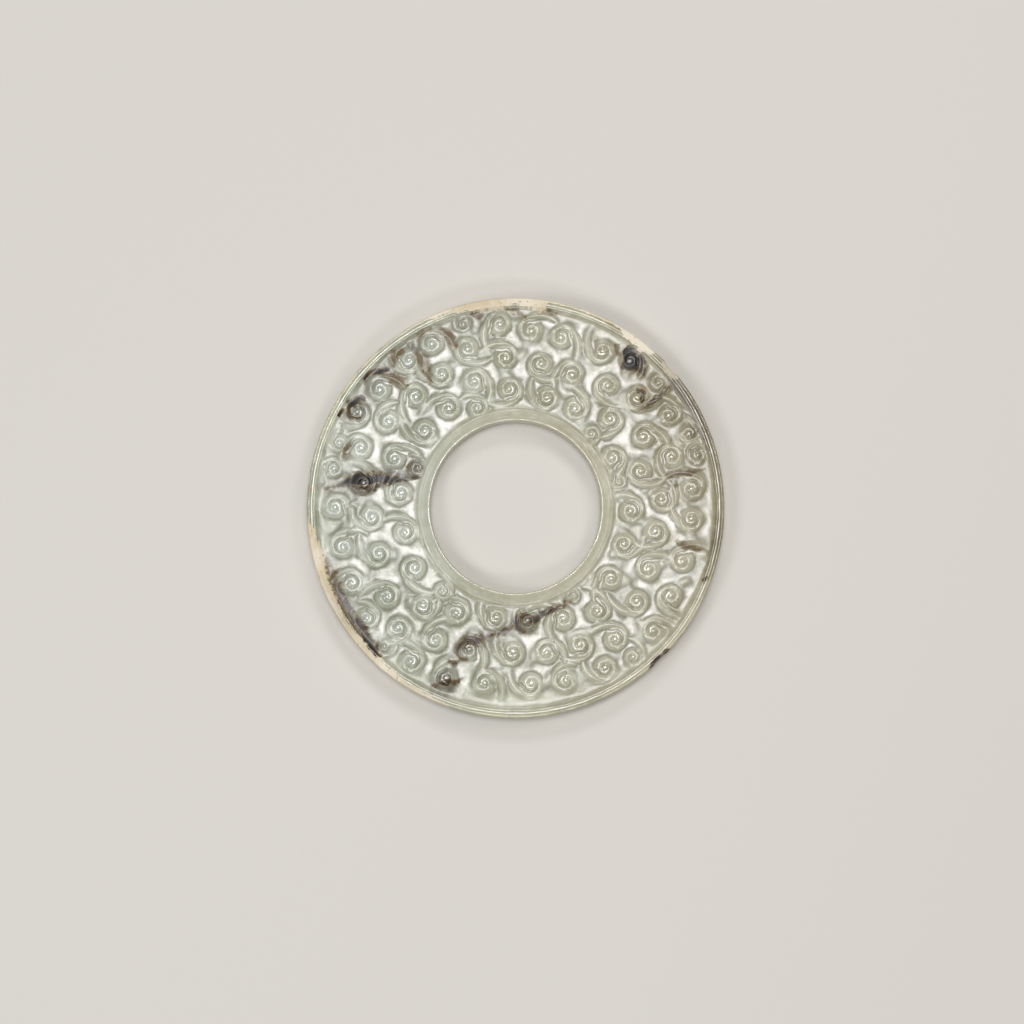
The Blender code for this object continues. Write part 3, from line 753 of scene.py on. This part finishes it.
def staining_tree():
    """Marks how deep in a stain each place lies, from 1 on a stroke to 0 where the stain ends. The strokes
    lie on the face, and a stain bends and dwindles on its way down into the stone."""
    tree, given = new_tree("staining", {"Strokes": "Object", "Name": "String", "Dwindling": "Float"})
    place = add(tree, "GeometryNodeInputPosition")
    bent = strayed(tree, place, STRAY_LENGTH, 2.0, STAIN_STRAY, (1.0, 1.0, 1.0))
    east, north, up = add(tree, "ShaderNodeSeparateXYZ", {0: bent}).outputs
    sunk = add(tree, MATH, {0: THICKNESS, 1: up}, operation="SUBTRACT")
    sunk = add(tree, MATH, {0: sunk, 1: given["Dwindling"]}, operation="MULTIPLY")
    below = add(tree, "ShaderNodeCombineXYZ", {"X": east, "Y": north, "Z": sunk})
    distance, half, strength = near(tree, given["Strokes"], below, "strength")
    reach = add(tree, MATH, {0: half, 1: STAIN_REACH}, operation="MULTIPLY")
    within = ridge(tree, distance, reach, 1.0)
    mark = add(tree, "ShaderNodeCombineXYZ", {"X": within, "Y": strength})
    stored = add(
        tree, "GeometryNodeStoreNamedAttribute",
        {"Geometry": given["Geometry"], "Name": given["Name"], "Value": mark},
        data_type="FLOAT_VECTOR", domain="POINT",
    )
    return end_tree(tree, stored, given["Material"])


def stain(piece, material):
    """Marks every kind of stain on a piece, each under its own name."""
    tree = staining_tree()
    for name, strokes in STAINS.items():
        drawn = strokes_object(name + "_strokes", strokes, "strength")
        values = {"Strokes": drawn, "Name": name, "Dwindling": DWINDLING[name], "Material": material}
        work(piece, name, tree, values)


def thin_out(piece, chosen, target):
    """Thins the chosen corners of the mesh, most where the stone is plain, to `target` triangles in all."""
    piece.data.calc_loop_triangles()
    group = piece.vertex_groups.new(name="thinned")
    group.add(np.flatnonzero(chosen).tolist(), THINNED, "REPLACE")
    thin = piece.modifiers.new("thin out", "DECIMATE")
    thin.vertex_group = group.name
    thin.vertex_group_factor = LENGTH_COST
    thin.ratio = target / len(piece.data.loop_triangles)
    make_real(piece)
    piece.vertex_groups.clear()


def carried(piece, name, axis):
    """One number of a vector that the mesh carries, for each of its corners."""
    vectors = np.empty(3 * len(piece.data.vertices))
    piece.data.attributes[name].data.foreach_get("vector", vectors)
    return vectors[axis::3]


def thin_both(piece):
    """The underside keeps few triangles, so that most are left for the face, and above all for the edges
    of its stains."""
    under = carried(piece, "position", 2) < MIDDLE
    piece.data.calc_loop_triangles()
    upper_share = 1.0 - np.mean(under)
    thin_out(piece, under, len(piece.data.loop_triangles) * upper_share + UNDERSIDE_TRIANGLES)
    plain = carried(piece, "position", 2) > MIDDLE
    for name, (low, high) in STAIN_EDGES.items():
        within = carried(piece, name, 0)
        plain &= (within <= low) | (within >= high)
    thin_out(piece, plain, TRIANGLES)
    piece.data.shade_smooth()


# ---- materials


def mark_of(tree, name, ragged, softness):
    """How strongly a stain shows, with its edge broken up by a noise."""
    mark = add(tree, "ShaderNodeAttribute", attribute_name=name).outputs["Vector"]
    within, strength, _ = add(tree, "ShaderNodeSeparateXYZ", {0: mark}).outputs
    inside = add(tree, MATH, {0: within, 1: RAGGED_IN}, operation="MULTIPLY", use_clamp=True)
    edge = add(tree, MATH, {0: ragged, 1: inside, 2: within}, operation="MULTIPLY_ADD")
    shown = add(
        tree, RANGE, {"Value": edge, "From Min": 0.5 - softness, "From Max": 0.5 + softness}, **SMOOTH
    )
    return add(tree, MATH, {0: shown, 1: strength}, operation="MULTIPLY").outputs[0]


def measure(tree):
    """Where a place in the stone lies, in millimetres, and the measures that the zones go by."""
    place = add(tree, "ShaderNodeTexCoord").outputs["Object"]
    place = add(tree, VECTOR, {0: place, "Scale": 1 / MM}, operation="SCALE")
    east, north, up = add(tree, "ShaderNodeSeparateXYZ", {0: place}).outputs
    north = add(tree, MATH, {0: north, 1: STRETCH}, operation="DIVIDE")
    plan = add(tree, "ShaderNodeCombineXYZ", {"X": east, "Y": north})
    radius = add(tree, VECTOR, {0: plan}, operation="LENGTH").outputs["Value"]
    height = add(tree, MATH, {0: up, 1: MIDDLE}, operation="SUBTRACT")
    height = add(tree, MATH, {0: height}, operation="ABSOLUTE")
    relief = add(tree, MATH, {0: height, 1: MIDDLE - FIELD_DEPTH}, operation="SUBTRACT")
    return {"place": place, "plan": plan, "east": east, "radius": radius, "relief": relief}


def stone_coats(tree, spot, zone, pattern, cloud):
    """The stone itself, warmer to the right, yellower at the inner rim, a little bluer on the curls at the
    left, and flecked; then milky ground, partly a whitish worn surface and partly a painted reflection of
    the overhead light, least of it at the lower left, a line of painted shade at the foot of each curl, and
    the yellowish skin of the outer rim."""
    fleck = add(tree, RANGE, {"Value": pattern["fleck"], "From Min": 0.5, "From Max": 0.75, "To Max": 0.5})
    lower_left = add(
        tree, VECTOR, {0: spot["plan"], 1: LOWER_LEFT}, operation="DOT_PRODUCT"
    ).outputs["Value"]
    lower_left = add(tree, RANGE, {"Value": lower_left, "From Min": 0.0, "From Max": CLEARED})
    clear = add(tree, MATH, {0: lower_left, 1: CLEAR_BAND, 2: spot["radius"]}, operation="MULTIPLY_ADD")
    clear = add(tree, RANGE, {"Value": clear, "From Min": FIELD[1] - 0.3, "From Max": FIELD[1] - 1.3})
    clear = add(tree, MATH, {0: clear, 1: zone["outside_hole"]}, operation="MULTIPLY")
    patch = add(
        tree, MATH, {0: lower_left, 1: CLEAR_PATCHES, 2: pattern["patch"]}, operation="MULTIPLY_ADD"
    )
    patch = add(tree, RANGE, {"Value": patch, "From Min": 0.38, "From Max": 0.6, "To Max": 0.85})
    return [
        ("#a69c7f", zone["warm"]),
        ("#bebaa2", zone["yellow"]),
        ("#b2bdb9", zone["left"], zone["raised"], zone["inside_rim"]),
        ("#cccdbf", fleck),
        # Milky ground: partly a whitish worn surface, partly a painted reflection of the overhead light.
        ("#f4f1ec", zone["ground"], clear, patch),
        # Painted shade in the crease at the foot of each curl.
        ("#646550", zone["foot_rises"], zone["foot_ends"], clear, PAINTED_FOOT_SHADE),
        ("#bdb896", zone["skin"], cloud),
    ]


def stain_coats(tree, zone, pattern, cloud):
    """The stains, from the thinnest veil to the chalk. Also gives how much of each place is vein and how
    much is chalk."""
    ragged = add(tree, MATH, {0: pattern["ragged"], 1: 0.5}, operation="SUBTRACT")
    coarse = add(tree, MATH, {0: ragged, 1: COARSE}, operation="MULTIPLY")

    smoky = mark_of(tree, "smoky", ragged, SOFTNESS["smoky"])
    veil = add(
        tree, "ShaderNodeMix", {0: zone["right"], 6: linear("#726f62"), 7: linear("#857b5c")},
        data_type="RGBA",
    ).outputs[2]
    deepest = add(tree, RANGE, {"Value": smoky, "From Min": 0.5, "From Max": 1.1, "To Max": 0.8})
    coats = [(veil, smoky), ("#544b3a", deepest)]

    # A vein is uneven along its length, and darkens towards its core.
    vein = mark_of(tree, "vein", coarse, SOFTNESS["vein"])
    uneven = add(tree, MATH, {0: coarse, 1: 1.0}, operation="ADD")
    vein = add(tree, MATH, {0: vein, 1: uneven}, operation="MULTIPLY")
    for start, end, code in ((0.0, 0.35, "#7d7050"), (0.22, 0.62, "#533f1e"), (0.6, 1.0, "#18120b")):
        part = add(tree, RANGE, {"Value": vein, "From Min": start, "From Max": end})
        coats.append((code, part))
    coats.append(("#b48c63", mark_of(tree, "ochre", coarse, SOFTNESS["ochre"])))

    # The chalk is creamy with brown specks, and has a thin dark border.
    chalk = mark_of(tree, "calcified", ragged, SOFTNESS["calcified"])
    border = mark_of(tree, "calcified", ragged, SOFTNESS["border"])
    border = add(tree, MATH, {0: border, 1: chalk}, operation="SUBTRACT", use_clamp=True)
    cream = add(
        tree, "ShaderNodeMix", {0: cloud, 6: linear("#cfbf9f"), 7: linear("#e6dcc8")}, data_type="RGBA"
    ).outputs[2]
    speck = add(tree, RANGE, {"Value": pattern["speck"], "From Min": 0.66, "From Max": 0.74, "To Max": 0.6})
    cream = add(
        tree, "ShaderNodeMix", {0: speck, 6: cream, 7: linear("#8b6c48")}, data_type="RGBA"
    ).outputs[2]
    return coats + [("#4c4438", border), (cream, chalk)], vein, chalk


def polish(tree, zone, grain, vein, chalk):
    """How rough the skin is: glassy on the curls, duller in the ground and the veins, matt on the chalk."""
    rough = POLISH
    for part, duller in ((zone["dull"], 0.14), (grain, 0.1), (chalk, 0.4), (vein, 0.07)):
        rough = add(tree, MATH, {0: part, 1: duller, 2: rough}, operation="MULTIPLY_ADD")
    return rough.outputs[0]


def grinding_marks(tree, spot, zone, grain, cloud):
    """Fine grain all over, deepest in the ground, and rings turned on the two rims."""
    on_rims = add(
        tree, MATH, {0: zone["at_hole"], 1: TURNED_AT_HOLE, 2: zone["on_rim"]}, operation="MULTIPLY_ADD"
    )
    sway = add(tree, MATH, {0: cloud, 1: TURNED_SWAY, 2: spot["radius"]}, operation="MULTIPLY_ADD")
    phase = add(tree, MATH, {0: sway, 1: 2 * pi / TURNED_LINE}, operation="MULTIPLY")
    rings = add(tree, MATH, {0: phase}, operation="SINE")
    rings = add(tree, MATH, {0: rings, 1: on_rims}, operation="MULTIPLY")
    depth = add(tree, MATH, {0: zone["sunk"], 1: 1.0 - GRAIN_KEPT, 2: GRAIN_KEPT}, operation="MULTIPLY_ADD")
    marks = add(tree, MATH, {0: grain, 1: depth}, operation="MULTIPLY")
    marks = add(tree, MATH, {0: rings, 1: TURNED_SHARE, 2: marks}, operation="MULTIPLY_ADD")
    bump = add(tree, "ShaderNodeBump", {"Height": marks, "Distance": MARK_DEPTH * MM, "Strength": 1.0})
    return bump.outputs[0]


def nephrite():
    """Nephrite, sawn with sand and hand polished: pale grey-green and waxy, a little translucent, glassy on
    the curls and duller in the ground between them. Burial stained it along its flaws and turned part of
    its rim to chalk."""
    material = bpy.data.materials.new("polished_nephrite")
    material.use_nodes = True
    tree = material.node_tree
    spot = measure(tree)
    pattern, zone = {}, {}
    for name, (across, octaves, rough, bent) in PATTERNS.items():
        values = {"Scale": 1 / across, "Detail": octaves, "Roughness": rough, "Distortion": bent}
        pattern[name] = add(tree, NOISE, {"Vector": spot["place"], **values})
    for name, (by, start, full, most) in ZONES.items():
        values = {"Value": spot[by], "From Min": start, "From Max": full, "To Max": most}
        zone[name] = add(tree, RANGE, values)
    cloud = add(tree, RANGE, {"Value": pattern["cloud"], "From Min": 0.36, "From Max": 0.64}, **SMOOTH)

    # The coats lie one over the other, each as thick as the product of its shares.
    colour = add(
        tree, "ShaderNodeMix", {0: cloud, 6: linear("#979a85"), 7: linear("#bcbfb0")}, data_type="RGBA"
    ).outputs[2]
    coats, vein, chalk = stain_coats(tree, zone, pattern, cloud)
    for coat, share, *others in stone_coats(tree, spot, zone, pattern, cloud) + coats:
        for other in others:
            share = add(tree, MATH, {0: share, 1: other}, operation="MULTIPLY")
        coat = linear(coat) if isinstance(coat, str) else coat
        colour = add(tree, "ShaderNodeMix", {0: share, 6: colour, 7: coat}, data_type="RGBA").outputs[2]

    grain = pattern["grain"]
    looks = {
        "Base Color": colour,
        "Roughness": polish(tree, zone, grain, vein, chalk),
        "Normal": grinding_marks(tree, spot, zone, grain, cloud),
        "IOR": NEPHRITE_IOR,
        "Subsurface Weight": GLOW,
        "Subsurface Radius": GLOW_TINT,
        "Subsurface Scale": GLOW_DEPTH * MM,
    }
    plug(tree, tree.nodes["Principled BSDF"], looks)
    return material


def paper():
    """Matt studio paper: even, pale and without gloss."""
    material = bpy.data.materials.new("backdrop_paper")
    material.use_nodes = True
    tree = material.node_tree
    plug(tree, tree.nodes["Principled BSDF"], {"Base Color": linear("#d6d3cd"), "Roughness": 0.9})
    return material


# ---- stage


def add_light(name, place, size, power, colour):
    """A softbox: a rectangle of light that faces the ring."""
    lamp = bpy.data.lights.new(name, "AREA")
    lamp.shape = "RECTANGLE"
    lamp.size, lamp.size_y = size
    lamp.energy = power
    lamp.color = linear(colour)[:3]
    light = new_object(name, lamp)
    light.location = place
    target = Vector((0.0, 0.0, THICKNESS * MM))
    light.rotation_euler = (target - Vector(place)).to_track_quat("-Z", "Y").to_euler()


def add_camera():
    """Nearly straight down on the lying ring, from a little below its centre."""
    lens = bpy.data.cameras.new("camera")
    lens.lens = LENS
    lens.sensor_width = SENSOR
    lens.clip_start = NEAREST
    camera = new_object("camera", lens)
    aim = Vector([way * MM for way in CAMERA_AIM])
    tilt = radians(CAMERA_TILT)
    camera.location = aim + CAMERA_DISTANCE * Vector((0.0, -sin(tilt), cos(tilt)))
    camera.rotation_euler = (tilt, 0.0, 0.0)
    bpy.context.scene.camera = camera


def add_floor():
    """A sheet of paper, far wider than the ring."""
    mesh = bpy.data.meshes.new("floor")
    bm = bmesh.new()
    bmesh.ops.create_grid(bm, x_segments=1, y_segments=1, size=FLOOR_HALF)
    bm.to_mesh(mesh)
    bm.free()
    mesh.materials.append(paper())
    new_object("floor", mesh)


def add_stage():
    """The camera, the floor and the lights of a plain studio."""
    add_camera()
    add_floor()
    for row in LIGHTS:
        add_light(*row)
    room = bpy.data.worlds.new("room")
    room.use_nodes = True
    tree = room.node_tree
    plug(tree, tree.nodes["Background"], {"Color": linear("#e4e4e4"), "Strength": ROOM_LIGHT})
    bpy.context.scene.world = room
    bpy.context.scene.view_settings.view_transform = "Standard"


def main():
    """Makes the ring from its blank to its stains, and sets it on the stage."""
    stone = nephrite()
    ring = turned_blank()
    tree = carving_tree()
    carve(ring, tree, "face", FACE_CURLS, 1, stone)
    carve(ring, tree, "underside", underside_curls(), -1, stone)
    wear(ring, stone)
    stain(ring, stone)
    thin_both(ring)
    ring.data.transform(Matrix.Scale(MM, 4))
    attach(ring, "root")
    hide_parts("jade_ring")
    add_stage()


main()
